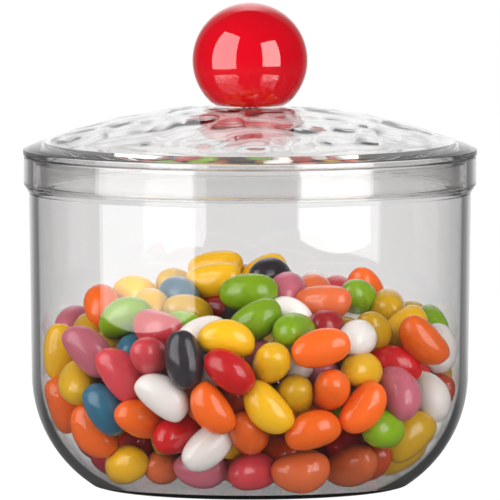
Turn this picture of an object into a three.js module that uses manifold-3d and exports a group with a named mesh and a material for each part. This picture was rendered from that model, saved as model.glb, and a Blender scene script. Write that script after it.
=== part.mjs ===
// Candy jar: a clear moulded jar of jelly beans with a lift-off domed lid and a red ball knob.
// Millimetres, +Z up, with the origin at the centre of the flat base.

import * as THREE from 'three';
import { mergeVertices } from 'three/addons/utils/BufferGeometryUtils.js';
import Module from 'manifold-3d';

const wasm = await Module();
wasm.setup();

// The running gap between two pieces that meet
const fit = 0.3;

// Jar
const rimHeight = 101;
const bodyRadius = 66.6;
const baseRadius = 47.4;
const cornerHeight = 34.5;
const bodyDraft = 0.8;
const wall = 2.6;
const floorThickness = 2.6;
const shoulderStep = 1.6;
const shoulderHeight = 2.6;
const collarHeight = 8.7;
const collarWall = 2.8;
const rimRounding = 0.6;

// Lid
const flangeOverhang = 0.25;
const flangeThickness = 1.6;
const flangeRounding = 0.4;
const domeRise = 13.4;
const domeThickness = 2.2;
const smoothRingWidth = 8;
const skirtWall = 1.8;
const skirtBandHeight = 2.2;
const beadHeight = 0.9;
const beadStep = 0.9;

// Water ripple pressed into the outside of the lid
const rippleHeight = 0.16;
const rippleLength = 20;
const rippleRunOut = 4;

// Seal round the lid's skirt
const sealHeight = 6.1;
const sealThickness = 1.6;
const sealGrooveDepth = 0.7;
const sealUpperLip = 1.5;
const sealLowerLip = 2.3;

// Knob and its fastening
const knobRadius = 17.6;
const knobFootDepth = 13.7;
const knobFootRounding = 0.9;
const insertLength = 10;
const insertWall = 1.1;
const insertRecess = 0.5;
const insertGrooveWidth = 2.4;
const insertGrooveDepth = 0.5;
const boreTipRoom = 1;
const screwRadius = 2;
const screwLength = 12;
const screwHeadRadius = 4;
const screwHeadHeight = 2.4;
const slotWidth = 1;
const slotDepth = 1.1;
const washerRadius = 5;
const washerThickness = 0.8;

// Jelly beans
const beanLength = 17;
const beanWidth = 11;
const heapHeight = 70.5;
const heapWallHeight = 47;

// The photograph's scale, and the pixel column of the jar's axis and pixel row of its base there
const pixelSize = 0.305;
const axisPixelColumn = 250;
const basePixelRow = 485;
const viewTilt = THREE.MathUtils.degToRad(4.4);

// Beans that show in the photograph: column and row of the middle, length in pixels, tilt in
// degrees, and how many beans deep it lies behind the first that shows, where a bean with less lies
// in front, and of two with the same the lower one
const shownBeans = [
  [102, 306, 48, 98, 0], [135, 296, 50, -10, 1], [153, 308, 36, 0, 0], [127, 318, 54, 30, 0],
  [131, 334, 36, 0, 1], [180, 297, 46, -15, 0], [188, 315, 50, -10, 0], [180, 328, 45, 0, 0],
  [203, 336, 50, 20, 0], [160, 330, 48, -20, 0], [70, 328, 44, 0, 1], [93, 332, 38, 0, 1],
  [57, 352, 56, 80, 0], [90, 350, 58, -40, 0], [117, 343, 46, 0, 1], [135, 352, 42, 45, 1],
  [152, 354, 42, -30, 0], [64, 364, 46, 60, 1], [184, 358, 56, -78, -0.2], [124, 373, 58, -60, 0],
  [81, 384, 44, 80, 0], [163, 394, 56, -35, -0.1], [142, 415, 52, -20, 0], [106, 409, 58, -55, -0.3],
  [95, 428, 60, -50, 0], [59, 409, 60, -70, 0], [88, 456, 50, -30, 1], [135, 448, 50, 20, 0],
  [181, 433, 52, 15, 0], [126, 470, 48, 10, 0], [161, 470, 44, 45, 0], [217, 270, 54, 10, 0.5],
  [213, 283, 56, 15, 0], [262, 276, 50, 20, 0.5], [270, 278, 40, 0, 0], [250, 295, 58, 0, 0],
  [286, 293, 38, 90, 0], [217, 312, 50, 10, 1], [212, 304, 46, 30, 1], [246, 314, 44, 30, 1],
  [256, 322, 56, 40, 0], [290, 317, 46, -20, 0], [293, 331, 42, 0, 0], [278, 344, 40, 0, 1],
  [226, 339, 58, -5, 0], [271, 362, 48, 68, -0.1], [229, 369, 60, -40, -0.2], [254, 352, 40, 20, 1],
  [295, 364, 38, 60, 0.6], [320, 305, 54, 10, 0], [311, 295, 42, 0, 1], [322, 327, 40, 20, 0],
  [318, 346, 60, 10, -0.1], [316, 374, 42, 0, 1], [294, 393, 44, -80, 0], [268, 406, 60, -48, -0.1],
  [211, 408, 60, -58, -0.2], [240, 402, 50, 60, 1], [247, 430, 46, -80, 0], [277, 449, 50, -20, 0.2],
  [209, 454, 54, 30, -0.3], [202, 479, 54, -5, 0], [249, 474, 50, -20, 0], [301, 475, 58, 3, 0],
  [312, 429, 58, 10, -0.2], [329, 389, 48, 65, -0.1], [333, 458, 50, -15, 1], [344, 327, 46, 0, 1],
  [363, 290, 48, -30, 0.5], [340, 296, 42, 0, 1], [359, 300, 46, -50, 0], [386, 308, 40, -60, 0],
  [399, 305, 48, -35, 1], [417, 319, 50, -5, 1], [400, 331, 52, 30, 0], [436, 326, 44, -30, 1],
  [424, 342, 60, -45, -0.2], [449, 347, 50, -85, 0.4], [371, 333, 46, -70, 0], [345, 336, 44, 20, 1],
  [354, 339, 40, 0, 0], [391, 346, 50, 15, 1], [391, 363, 58, -15, 0], [345, 363, 44, 30, 1],
  [359, 369, 40, 0, 0], [397, 392, 50, -60, 0], [364, 406, 60, 48, -0.2], [428, 395, 54, -55, 0],
  [434, 374, 48, -10, 1], [449, 396, 44, 80, 0], [382, 427, 40, 30, -0.1], [402, 432, 62, 50, 0],
  [430, 430, 46, -75, 0], [437, 427, 40, -70, 1], [347, 440, 52, 45, 0.1], [366, 459, 50, 40, 0],
  [402, 458, 54, 20, 0], [355, 472, 52, -5, 0], [100, 385, 50, 70, 1], [110, 460, 46, 0, 1],
];

// How the other beans are laid: from one to the next as a share of a bean's width, from one level to
// the next as a share of that, and the least room round a bean that shows as a share of the width
const spacingShare = 1.14;
const levelShare = 0.86;
const roomShare = 0.8;

// How the beans settle: rounds of pushing, the share of an overlap that one push takes away, the
// shares of the way back to its place and turn, as seen and in depth, that a bean that shows goes in
// a round, and how deep beans lie under the top of the heap, as shares of a bean's radius
const settleRounds = 120;
const pushShare = 0.35;
const returnShare = 0.3;
const depthReturnShare = 0.04;
const shownDepthShare = 0.4;
const hiddenDepthShare = 1.2;

// A bean hides one that shows where it is nearer by more than the first share of a bean's width, and
// less than the second share aside
const hidingDepthShare = 0.3;
const hidingSideShare = 0.75;

// Beans nearer the outside of the heap than this share of their radius are made, and stand out of a
// plain core, whose top is laid out at these shares of its radius
const coverShare = 2;
const coreTopShares = [1, 0.75, 0.5, 0.25, 0];

// A bean's outline: widths as shares of its radius, and places as shares of its length
const beanShares = [[0, -0.5], [1, -0.26], [1, 0.26], [0, 0.5]];

// Places tried along a sight line, and how much nearer than the best so far, as a share of a
// bean's radius, a place has to be
const sightSteps = 200;
const nearerShare = 0.05;

// Facets of a full turn
const roundSides = 64;
const smallSides = 24;
const knobSides = 32;
const coreSides = 16;
const beanSides = 6;

// Facets of an arc in an outline, and of one wave of the ripple
const quarterSteps = 4;
const cornerSteps = 7;
const rippleSteps = 5;

// Radii and heights that follow
const cornerRun = bodyRadius - baseRadius;
const cornerRadius = (cornerRun ** 2 + cornerHeight ** 2) / (2 * cornerRun);
const cornerCentre = bodyRadius - cornerRadius;
const bodyTopRadius = bodyRadius + bodyDraft;
const collarRadius = bodyTopRadius + shoulderStep;
const collarBore = collarRadius - collarWall;
const collarFoot = rimHeight - collarHeight;
const shoulderFoot = collarFoot - shoulderHeight;
const innerTopRadius = bodyTopRadius - wall;
const innerRadius = bodyRadius - wall;

const flangeRadius = collarRadius + flangeOverhang;
const flangeFoot = rimHeight + fit;
const flangeTop = flangeFoot + flangeThickness;
const domeRadius = (flangeRadius ** 2 + domeRise ** 2) / (2 * domeRise);
const sealRadius = collarBore - fit;
const sealBore = sealRadius - sealThickness;
const skirtRadius = sealBore - fit;
const skirtBore = skirtRadius - skirtWall;
const bandRadius = sealRadius - fit;
const bandFoot = flangeFoot - skirtBandHeight;
const sealTop = bandFoot - fit;
const sealFoot = sealTop - sealHeight;
const beadTop = sealFoot - fit;
const skirtFoot = beadTop - beadHeight;

const knobFootRadius = Math.sqrt(knobRadius ** 2 - knobFootDepth ** 2);
const padRadius = knobFootRadius + knobFootRounding;
const padHeight = domeTop(padRadius);
const knobFoot = padHeight + fit;
const knobCentre = knobFoot + knobFootDepth;
const threadRadius = screwRadius + fit;
const insertRadius = threadRadius + insertWall;
const insertFoot = knobFoot + insertRecess;
const landHeight = padHeight - domeThickness;
const washerTop = landHeight - fit;
const washerFoot = washerTop - washerThickness;
const screwSeat = washerFoot - fit;

const rippleRadius = flangeRadius - smoothRingWidth;
const beanRadius = beanWidth / 2;
const beanReach = (beanLength - beanWidth) / 2;
const beanSpacing = spacingShare * beanWidth;
const wallRoom = wall + fit + beanRadius;
const floorRoom = floorThickness + fit + beanRadius;
const topRoom = hiddenDepthShare * beanRadius;
const sight = new THREE.Vector3(0, Math.cos(viewTilt), -Math.sin(viewTilt));

function domeTop(radius) {
  const crown = flangeTop + domeRise;
  return crown - domeRadius + Math.sqrt(domeRadius ** 2 - radius ** 2);
}

function domeUnder(radius) {
  const crown = flangeTop + domeRise;
  return crown - domeRadius + Math.sqrt((domeRadius - domeThickness) ** 2 - radius ** 2);
}

// Points of an arc round (r, z), both ends included
function arc([r, z], radius, from, to, steps) {
  return Array.from({ length: steps + 1 }, (_, i) => {
    const angle = from + ((to - from) * i) / steps;
    return [r + radius * Math.cos(angle), z + radius * Math.sin(angle)];
  });
}

function turned(outline, sides = roundSides) {
  const points = outline.map(([r, z]) => new THREE.Vector2(r, z));
  const geometry = new THREE.LatheGeometry(points, sides);
  geometry.rotateX(Math.PI / 2);
  return geometry;
}

function ring(outline, sides = roundSides) {
  return turned([...outline, outline[0]], sides);
}

function toSolid(geometry) {
  const bare = geometry.clone();
  bare.deleteAttribute('normal');
  bare.deleteAttribute('uv');
  const merged = mergeVertices(bare);
  return new wasm.Manifold(new wasm.Mesh({
    numProp: 3,
    vertProperties: merged.attributes.position.array,
    triVerts: new Uint32Array(merged.index.array),
  }));
}

function toGeometry(solid) {
  const mesh = solid.getMesh();
  const geometry = new THREE.BufferGeometry();
  geometry.setAttribute('position', new THREE.BufferAttribute(mesh.vertProperties, mesh.numProp));
  geometry.setIndex(new THREE.BufferAttribute(mesh.triVerts, 1));
  return geometry;
}

function piece(name, geometry, material) {
  const mesh = new THREE.Mesh(geometry, new THREE.MeshStandardMaterial(material));
  mesh.name = name;
  return mesh;
}

// Flat base, round corner, drafted wall, and a stepped-out collar that takes the lid
function jarBody() {
  const cornerFloor = cornerHeight - floorThickness;
  const innerCorner = cornerRadius - wall;
  const outer = [
    [0, 0],
    ...arc([cornerCentre, cornerHeight], cornerRadius,
      -Math.atan2(cornerHeight, baseRadius - cornerCentre), 0, cornerSteps),
    [bodyTopRadius, shoulderFoot],
    [collarRadius, collarFoot],
  ];
  const rim = [
    ...arc([collarRadius - rimRounding, rimHeight - rimRounding], rimRounding, 0, Math.PI / 2, 2),
    ...arc([collarBore + rimRounding, rimHeight - rimRounding], rimRounding, Math.PI / 2, Math.PI, 2),
  ];
  const inner = [
    [collarBore, collarFoot],
    [innerTopRadius, shoulderFoot],
    ...arc([cornerCentre, cornerHeight], innerCorner,
      0, -Math.asin(cornerFloor / innerCorner), cornerSteps),
    [0, floorThickness],
  ];
  return piece('jar_body', turned([...outer, ...rim, ...inner]),
    { color: 0xeef1f2, roughness: 0.05, metalness: 0, transparent: true, opacity: 0.35 });
}

// Height of the pressed ripple at a place on the lid, from waves that cross one another
function ripple(x, y) {
  const radius = Math.hypot(x, y);
  const outerFade = THREE.MathUtils.smoothstep(rippleRadius - radius, 0, rippleRunOut);
  const innerFade = THREE.MathUtils.smoothstep(radius - padRadius, 0, rippleRunOut);
  const turn = (2 * Math.PI) / rippleLength;
  const bend = Math.sin(turn * 0.45 * (x - y)) + Math.sin(turn * 0.52 * (x + 0.6 * y));
  const waves = Math.sin(turn * (0.92 * x + 0.39 * y) + bend)
    + Math.sin(turn * (0.71 * y - 0.84 * x) + 1.3 * bend)
    + Math.sin(turn * (1.12 * y + 0.2 * x) - bend);
  return rippleHeight * outerFade * innerFade * waves;
}

// Dome with a pressed ripple, a flange on the rim, and a skirt with a groove for the seal
function lid() {
  const rings = Math.round((rippleRadius - padRadius) / (rippleLength / rippleSteps));
  const top = [[threadRadius, padHeight], [padRadius, padHeight]];
  for (let i = 1; i <= rings; i += 1) {
    const radius = padRadius + ((rippleRadius - padRadius) * i) / rings;
    top.push([radius, domeTop(radius)]);
  }
  const edge = arc([flangeRadius - flangeRounding, flangeTop - flangeRounding], flangeRounding,
    Math.PI / 4, 0, 1);
  const skirt = [
    [flangeRadius, flangeFoot],
    [bandRadius, flangeFoot],
    [bandRadius, bandFoot],
    [skirtRadius, bandFoot],
    [skirtRadius, beadTop],
    [skirtRadius + beadStep, beadTop],
    [skirtRadius + beadStep, skirtFoot],
    [skirtBore, skirtFoot],
  ];
  const under = [];
  for (let i = 0; i <= quarterSteps; i += 1) {
    const radius = skirtBore + ((washerRadius - skirtBore) * i) / quarterSteps;
    under.push([radius, Math.min(domeUnder(radius), landHeight)]);
  }
  const outline = [...top, ...edge, ...skirt, ...under, [threadRadius, landHeight]];
  const geometry = ring(outline.reverse());

  const places = geometry.attributes.position;
  const loop = outline.length + 1;
  const firstTop = outline.length - top.length;
  for (let i = 0; i < places.count; i += 1) {
    const along = i % loop;
    if (along >= firstTop && along < outline.length) {
      places.setZ(i, places.getZ(i) + ripple(places.getX(i), places.getY(i)));
    }
  }
  return piece('lid', geometry,
    { color: 0xf2f4f5, roughness: 0.06, metalness: 0, transparent: true, opacity: 0.35 });
}

// Soft ring with two lips that press on the collar
function sealRing() {
  const grooveRadius = sealRadius - sealGrooveDepth;
  const outline = [
    [sealBore, sealFoot],
    [sealRadius, sealFoot],
    [sealRadius, sealFoot + sealLowerLip],
    [grooveRadius, sealFoot + sealLowerLip + sealGrooveDepth],
    [grooveRadius, sealTop - sealUpperLip - sealGrooveDepth],
    [sealRadius, sealTop - sealUpperLip],
    [sealRadius, sealTop],
    [sealBore, sealTop],
  ];
  return piece('seal_ring', ring(outline),
    { color: 0xd9dcda, roughness: 0.35, metalness: 0, transparent: true, opacity: 0.6 });
}

// Ball with a flat foot and a blind bore for the insert
function knob() {
  const boreRadius = insertRadius + fit;
  const boreTop = insertFoot + insertLength + boreTipRoom;
  const footStart = -Math.asin((knobFootDepth - knobFootRounding) / knobRadius);
  const sphere = arc([0, knobCentre], knobRadius, footStart, Math.PI / 2, 3 * quarterSteps);
  sphere[sphere.length - 1][0] = 0;
  const outline = [
    [0, boreTop],
    [boreRadius, boreTop],
    [boreRadius, knobFoot],
    [knobFootRadius - knobFootRounding / 2, knobFoot],
    ...sphere,
  ];
  return piece('knob', turned(outline, knobSides),
    { color: 0xd8081e, roughness: 0.12, metalness: 0 });
}

// Threaded brass bush held in the knob by a groove round its middle
function knobInsert() {
  const top = insertFoot + insertLength;
  const middle = insertFoot + insertLength / 2;
  const grooveRadius = insertRadius - insertGrooveDepth;
  const outline = [
    [threadRadius, insertFoot],
    [insertRadius, insertFoot],
    [insertRadius, middle - insertGrooveWidth / 2],
    [grooveRadius, middle - insertGrooveWidth / 2],
    [grooveRadius, middle + insertGrooveWidth / 2],
    [insertRadius, middle + insertGrooveWidth / 2],
    [insertRadius, top],
    [threadRadius, top],
  ];
  return piece('knob_insert', ring(outline, smallSides),
    { color: 0xc9a14a, roughness: 0.3, metalness: 1 });
}

// Pan head screw, put in from inside the lid
function knobScrew() {
  const headFoot = screwSeat - screwHeadHeight;
  const rounding = screwHeadHeight / 2;
  const outline = [
    [0, headFoot],
    ...arc([screwHeadRadius - rounding, headFoot + rounding], rounding, -Math.PI / 2, 0, 3),
    [screwHeadRadius, screwSeat],
    [screwRadius, screwSeat],
    [screwRadius, screwSeat + screwLength],
    [0, screwSeat + screwLength],
  ];
  const slotHeight = 2 * slotDepth;
  const slot = new THREE.BoxGeometry(2 * screwHeadRadius + slotWidth, slotWidth, slotHeight);
  slot.translate(0, 0, headFoot + slotDepth - slotHeight / 2);
  const solid = toSolid(turned(outline, smallSides)).subtract(toSolid(slot));
  return piece('knob_screw', toGeometry(solid), { color: 0xb9bcc0, roughness: 0.3, metalness: 1 });
}

function screwWasher() {
  const outline = [
    [threadRadius, washerFoot],
    [washerRadius, washerFoot],
    [washerRadius, washerTop],
    [threadRadius, washerTop],
  ];
  return piece('screw_washer', ring(outline, smallSides),
    { color: 0xc3c6c9, roughness: 0.35, metalness: 1 });
}

// A number from 0 to 1 that looks random, and is the same each time for the same two counts
function scatter(first, second) {
  const value = Math.sin(first * 12.9898 + second * 78.233) * 43758.5453;
  return value - Math.floor(value);
}

function heapTop(radius) {
  return heapHeight - (heapHeight - heapWallHeight) * (radius / innerRadius) ** 2;
}

// Moves the middle of a bean's end to the nearest place where the end is clear of wall and floor
function keepInside(point) {
  const reach = Math.hypot(point.x, point.y);
  const run = Math.max(reach - cornerCentre, 0);
  const drop = Math.min(point.z - cornerHeight, 0);
  const excess = Math.hypot(run, drop) / (cornerRadius - wallRoom);
  if (excess > 1) {
    const inner = Math.min(reach, cornerCentre) + run / excess;
    point.x *= inner / reach;
    point.y *= inner / reach;
    point.z += drop / excess - drop;
  }
  point.z = Math.max(point.z, floorRoom);
}

// Where the sight line through a pixel first meets the space that the beans' middles fill
function seenPlace(column, row, depth) {
  const x = (column - axisPixelColumn) * pixelSize;
  const level = (basePixelRow - row) * pixelSize;
  let best = null;
  for (let i = 0; i <= sightSteps; i += 1) {
    const y = innerRadius * ((2 * i) / sightSteps - 1);
    const place = new THREE.Vector3(x, y, (level + y * sight.z) / sight.y);
    const inside = place.clone();
    keepInside(inside);
    inside.z = Math.min(inside.z, heapTop(Math.hypot(inside.x, inside.y)) - beanRadius);
    const miss = inside.distanceTo(place);
    if (best === null || miss < best.miss - nearerShare * beanRadius) best = { miss, place };
  }
  best.place.addScaledVector(sight, depth * beanWidth);
  keepInside(best.place);
  return best.place;
}

function bean(middle, direction, rank = null) {
  const reach = direction.clone().setLength(beanReach);
  return { ends: [middle.clone().add(reach), middle.clone().sub(reach)], home: middle, way: reach, rank };
}

// The beans that show in the photograph, each with its rank from the front one to the rear one
function beansThatShow() {
  const order = shownBeans.map((row, index) => index).sort((one, other) => (
    shownBeans[one][4] - shownBeans[other][4] || shownBeans[other][1] - shownBeans[one][1]));
  return shownBeans.map(([column, row, length, tilt, depth], index) => {
    const shortest = beanWidth / pixelSize;
    const span = THREE.MathUtils.clamp((length - shortest) / ((2 * beanReach) / pixelSize), 0, 1);
    const across = Math.sqrt(1 - span ** 2) * (index % 2 ? -1 : 1);
    const angle = THREE.MathUtils.degToRad(tilt);
    const direction = new THREE.Vector3(span * Math.cos(angle), across, span * Math.sin(angle));
    return bean(seenPlace(column, row, depth), direction, order.indexOf(index));
  });
}

// The beans that don't show in the photograph, ring by ring from the wall and level by level
function hiddenBeans(shown) {
  const beans = [];
  const levelStep = levelShare * beanSpacing;
  const levels = Math.ceil(heapHeight / levelStep);
  for (let level = 0; level < levels; level += 1) {
    const z = floorRoom + level * levelStep;
    const edge = new THREE.Vector3(innerRadius, 0, z);
    keepInside(edge);
    const rings = Math.floor(edge.x / beanSpacing);
    for (let ringIndex = 0; ringIndex <= rings; ringIndex += 1) {
      const radius = edge.x - ringIndex * beanSpacing;
      const count = Math.max(1, Math.floor((2 * Math.PI * radius) / beanSpacing));
      for (let i = 0; i < count; i += 1) {
        const key = level * 1000 + ringIndex * 100 + i;
        const angle = (2 * Math.PI * (i + scatter(level, ringIndex))) / count;
        const middle = new THREE.Vector3(radius * Math.cos(angle), radius * Math.sin(angle), z);
        const isUnderTop = z <= heapTop(radius) - topRoom;
        const isFree = shown.every((other) => other.home.distanceTo(middle) > roomShare * beanWidth);
        if (isUnderTop && isFree) {
          const turn = 2 * Math.PI * scatter(key, 1);
          const lift = 2 * scatter(key, 2) - 1;
          const flat = Math.sqrt(1 - lift ** 2);
          const direction = new THREE.Vector3(flat * Math.cos(turn), flat * Math.sin(turn), lift);
          beans.push(bean(middle, direction));
        }
      }
    }
  }
  return beans;
}

// Shares along two beans at which their middle lines come nearest
function nearestShares(one, other) {
  const along = one[1].clone().sub(one[0]);
  const across = other[1].clone().sub(other[0]);
  const apart = one[0].clone().sub(other[0]);
  const a = along.lengthSq();
  const b = along.dot(across);
  const c = along.dot(apart);
  const e = across.lengthSq();
  const f = across.dot(apart);
  const clamp = (value) => Math.min(Math.max(value, 0), 1);
  const slack = Math.max(a * e - b * b, a * e * 1e-6);
  const first = clamp((b * f - c * e) / slack);
  const t = clamp((b * first + f) / e);
  return [clamp((b * t - c) / a), t];
}

// Pushes overlapping beans apart, and holds the ones that show where they are seen, though one may
// go back behind another
function settle(beans) {
  for (let round = 0; round < settleRounds; round += 1) {
    const pushes = beans.map(() => [new THREE.Vector3(), new THREE.Vector3()]);
    for (let i = 0; i < beans.length; i += 1) {
      for (let j = i + 1; j < beans.length; j += 1) {
        const one = beans[i].ends;
        const other = beans[j].ends;
        if (one[0].distanceTo(other[0]) > 2 * beanLength - beanWidth) continue;
        const [s, t] = nearestShares(one, other);
        const apart = one[0].clone().lerp(one[1], s).sub(other[0].clone().lerp(other[1], t));
        const overlap = beanWidth - apart.length();
        if (overlap <= 0) continue;
        apart.setLength(pushShare * overlap);
        pushes[i][0].addScaledVector(apart, 1 - s);
        pushes[i][1].addScaledVector(apart, s);
        pushes[j][0].addScaledVector(apart, t - 1);
        pushes[j][1].addScaledVector(apart, -t);
        if (beans[i].rank === null || beans[j].rank === null) continue;
        const behind = beans[i].rank > beans[j].rank ? i : j;
        pushes[behind].forEach((push) => push.addScaledVector(sight, pushShare * overlap));
      }
    }
    beans.forEach(({ ends, home, way, rank }, index) => {
      ends.forEach((end, side) => end.add(pushes[index][side]));
      const middle = ends[0].clone().add(ends[1]).multiplyScalar(0.5);
      const reach = ends[0].clone().sub(middle);
      if (rank !== null) {
        const away = home.clone().sub(middle);
        const depth = away.clone().projectOnVector(sight);
        reach.lerp(way, returnShare);
        middle.addScaledVector(away.sub(depth), returnShare).addScaledVector(depth, depthReturnShare);
      }
      reach.setLength(beanReach);
      ends[0].copy(middle).add(reach);
      ends[1].copy(middle).sub(reach);
      ends.forEach((end) => {
        keepInside(end);
        const room = rank === null ? topRoom : shownDepthShare * beanRadius;
        end.z = Math.min(end.z, heapTop(Math.hypot(end.x, end.y)) - room);
      });
    });
  }
}

// Whether a bean hides one that shows
function isHiding(middle, shown) {
  return shown.some((other) => {
    const apart = other.clone().sub(middle);
    const sideways = apart.clone().projectOnPlane(sight).length();
    return apart.dot(sight) > hidingDepthShare * beanWidth && sideways < hidingSideShare * beanWidth;
  });
}

// Room between a bean's middle and the outside of the heap
function coverOf(middle) {
  const radius = Math.hypot(middle.x, middle.y);
  const run = Math.max(radius - cornerCentre, 0);
  const drop = Math.min(middle.z - cornerHeight, 0);
  const toWall = cornerRadius - wall - Math.hypot(run, drop);
  const toTop = heapTop(radius) - middle.z - topRoom + beanRadius;
  return Math.min(toWall, middle.z - floorThickness, toTop);
}

// The heap of jelly beans as one solid: a plain core with the outer beans standing out of it
function candyFill() {
  const shown = beansThatShow();
  const beans = [...shown, ...hiddenBeans(shown)];
  settle(beans);
  const middles = beans.map(({ ends }) => ends[0].clone().add(ends[1]).multiplyScalar(0.5));
  const shownMiddles = middles.slice(0, shown.length);

  const coreCorner = cornerRadius - wallRoom;
  const coreRadius = cornerCentre + coreCorner;
  const top = (radius) => heapTop(radius) - topRoom;
  const outline = [
    [0, floorRoom],
    ...arc([cornerCentre, cornerHeight], coreCorner,
      -Math.asin((cornerHeight - floorRoom) / coreCorner), 0, quarterSteps),
    ...coreTopShares.map((share) => [coreRadius * share, top(coreRadius * share)]),
  ];
  let solid = toSolid(turned(outline, coreSides));
  const outlineOfBean = beanShares.map(([r, z]) => [r * beanRadius, z * beanLength]);
  const shape = turned(outlineOfBean, beanSides);
  beans.forEach(({ ends, rank }, index) => {
    const middle = middles[index];
    const isLeftOut = coverOf(middle) > coverShare * beanRadius || isHiding(middle, shownMiddles);
    if (rank === null && isLeftOut) return;
    const direction = ends[0].clone().sub(ends[1]).normalize();
    const turn = new THREE.Quaternion().setFromUnitVectors(new THREE.Vector3(0, 0, 1), direction);
    const body = shape.clone().applyQuaternion(turn).translate(middle.x, middle.y, middle.z);
    solid = solid.add(toSolid(body));
  });
  return piece('candy_fill', toGeometry(solid), { color: 0xe2661c, roughness: 0.25, metalness: 0 });
}

const jar = new THREE.Group();
jar.add(jarBody(), candyFill());
const closure = new THREE.Group();
closure.add(lid(), sealRing(), knob(), knobInsert(), knobScrew(), screwWasher());
jar.add(closure);

export default jar;
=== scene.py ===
"""A clear candy jar of jelly beans with a rippled dome lid and a red ball knob."""

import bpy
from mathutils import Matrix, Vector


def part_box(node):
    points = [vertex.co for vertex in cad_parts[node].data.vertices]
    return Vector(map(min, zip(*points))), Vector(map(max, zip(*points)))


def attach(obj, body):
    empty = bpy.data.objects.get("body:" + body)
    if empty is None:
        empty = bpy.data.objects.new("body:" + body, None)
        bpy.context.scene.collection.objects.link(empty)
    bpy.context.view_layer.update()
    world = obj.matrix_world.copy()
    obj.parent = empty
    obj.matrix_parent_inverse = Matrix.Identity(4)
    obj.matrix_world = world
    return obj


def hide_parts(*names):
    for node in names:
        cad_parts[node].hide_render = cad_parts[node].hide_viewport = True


bl_info = {
    "name": "Candy Jar",
    "version": (1, 0, 0),
    "blender": (4, 5, 0),
    "location": "View3D > Sidebar > Candy Jar",
    "description": "Makes a clear jar of jelly beans with a lift-off domed lid",
    "category": "Add Mesh",
}

import math

import bmesh
import bpy
import numpy as np
from bpy.props import FloatProperty, FloatVectorProperty, IntProperty, PointerProperty
from mathutils import Matrix, Vector

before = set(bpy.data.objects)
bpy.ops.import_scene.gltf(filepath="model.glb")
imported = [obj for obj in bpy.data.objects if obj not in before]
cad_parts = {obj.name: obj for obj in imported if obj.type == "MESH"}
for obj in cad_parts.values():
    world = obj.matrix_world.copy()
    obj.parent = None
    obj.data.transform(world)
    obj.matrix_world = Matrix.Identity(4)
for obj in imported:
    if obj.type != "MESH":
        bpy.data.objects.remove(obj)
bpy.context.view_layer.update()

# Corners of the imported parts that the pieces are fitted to
JAR_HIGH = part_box("jar_body")[1]
LID_LOW, LID_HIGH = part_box("lid")
SEAL_LOW, SEAL_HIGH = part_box("seal_ring")
KNOB_LOW, KNOB_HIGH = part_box("knob")
INSERT_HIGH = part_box("knob_insert")[1]

FULL_TURN = 2 * math.pi
QUARTER_TURN = math.pi / 2

# The photograph: metres to a pixel, the column of the jar's axis, the row of its base, and the width
PIXEL_SIZE = 0.000305
AXIS_COLUMN = 250
BASE_ROW = 485
PHOTO_SIZE = 500

# The camera's sensor in millimetres
SENSOR_WIDTH = 36

# Facets of a full turn
CLEAR_SIDES = 256
SEAL_SIDES = 192
KNOB_SIDES = 128

# Steps along the outlines
CORNER_STEPS = 40
RIM_STEPS = 6
RIPPLE_STEPS = 72
RING_STEPS = 6
EDGE_STEPS = 4
UNDERSIDE_STEPS = 24
LIP_STEPS = 8
BALL_STEPS = 64

# A held corner: how far off its extra points lie, the least length of a side that gets one, in such
# distances, and from what sine of its turn or shortness of its other side it is held
HOLD_DISTANCE = 0.0002
HOLD_LENGTH = 4
HOLD_SINE = 0.14
HOLD_SHARE = 0.25

# Points nearer than this are merged, and what is divided by is at least this long or this share
MERGE_DISTANCE = 1e-7
LEAST_LENGTH = 1e-9
LEAST_SHARE = 1e-6

# How far the base's flat foot stops short of the jar's corner, as a share of the floor's thickness,
# and how far round the corner begins
FOOT_SHARE = 0.35
CORNER_START = 0.02

# Shares of a quarter turn by which the seal's lips run in to the groove
LOWER_LIP_SHARE = 0.55
UPPER_LIP_SHARE = 0.45

# The pressed ripple: the shares of a turn that each wave has along X and along Y, with how far the
# bend pulls it, and the share of a turn and the slope of each part of the bend
WAVES = ((0.92, 0.39, 1), (-0.84, 0.71, 1.3), (0.2, 1.12, -1))
BENDS = ((0.45, -1), (0.52, 0.6))

# How the hidden beans are laid: from one to the next as a share of a bean's width, from one level to
# the next as a share of that, and the least room round a bean that shows as a share of the width
SPACING_SHARE = 1.14
LEVEL_SHARE = 0.86
ROOM_SHARE = 0.8

# How the beans settle: the share of an overlap that one push takes away, the shares of the way back
# that a bean that shows goes in a round, as seen and in depth, and in shares of a bean's radius how
# deep hidden beans lie under the heap's top and how much higher the ones that show may lie
PUSH_SHARE = 0.35
RETURN_SHARE = 0.3
DEPTH_RETURN_SHARE = 0.04
HIDDEN_DEPTH_SHARE = 1.2
SHOWN_RISE_SHARE = 0.8

# A bean hides one that shows where it is nearer by more than the first share of a bean's width, and
# less than the second share aside
HIDING_DEPTH_SHARE = 0.3
HIDING_SIDE_SHARE = 0.75

# Hidden beans with more cover than the first share of their radius aren't made, where the heap's top
# counts as lower by the second
COVER_SHARE = 4
TOP_COVER_SHARE = 0.2

# Places tried along a sight line, and how much nearer than the best so far, as a share of a bean's
# radius, a place has to be
SIGHT_STEPS = 200
NEARER_SHARE = 0.05

# A bean's cage: facets round it and along it, how much wider and longer it is than the bean, how much
# thicker one end is, how far the middle rises as the ends curl down, and how often it is smoothed
BEAN_SIDES = 8
BEAN_RINGS = 6
CAGE_SHARE = 1.2
CAGE_END_SHARE = 1.12
TAPER_SHARE = 0.05
RISE_SHARE = 0.35
SMOOTH_LEVELS = 2

# The smallest bean's size as a share of the usual one, and how much larger the largest is
SMALLEST_SHARE = 0.97
SPREAD_SHARE = 0.06

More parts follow.
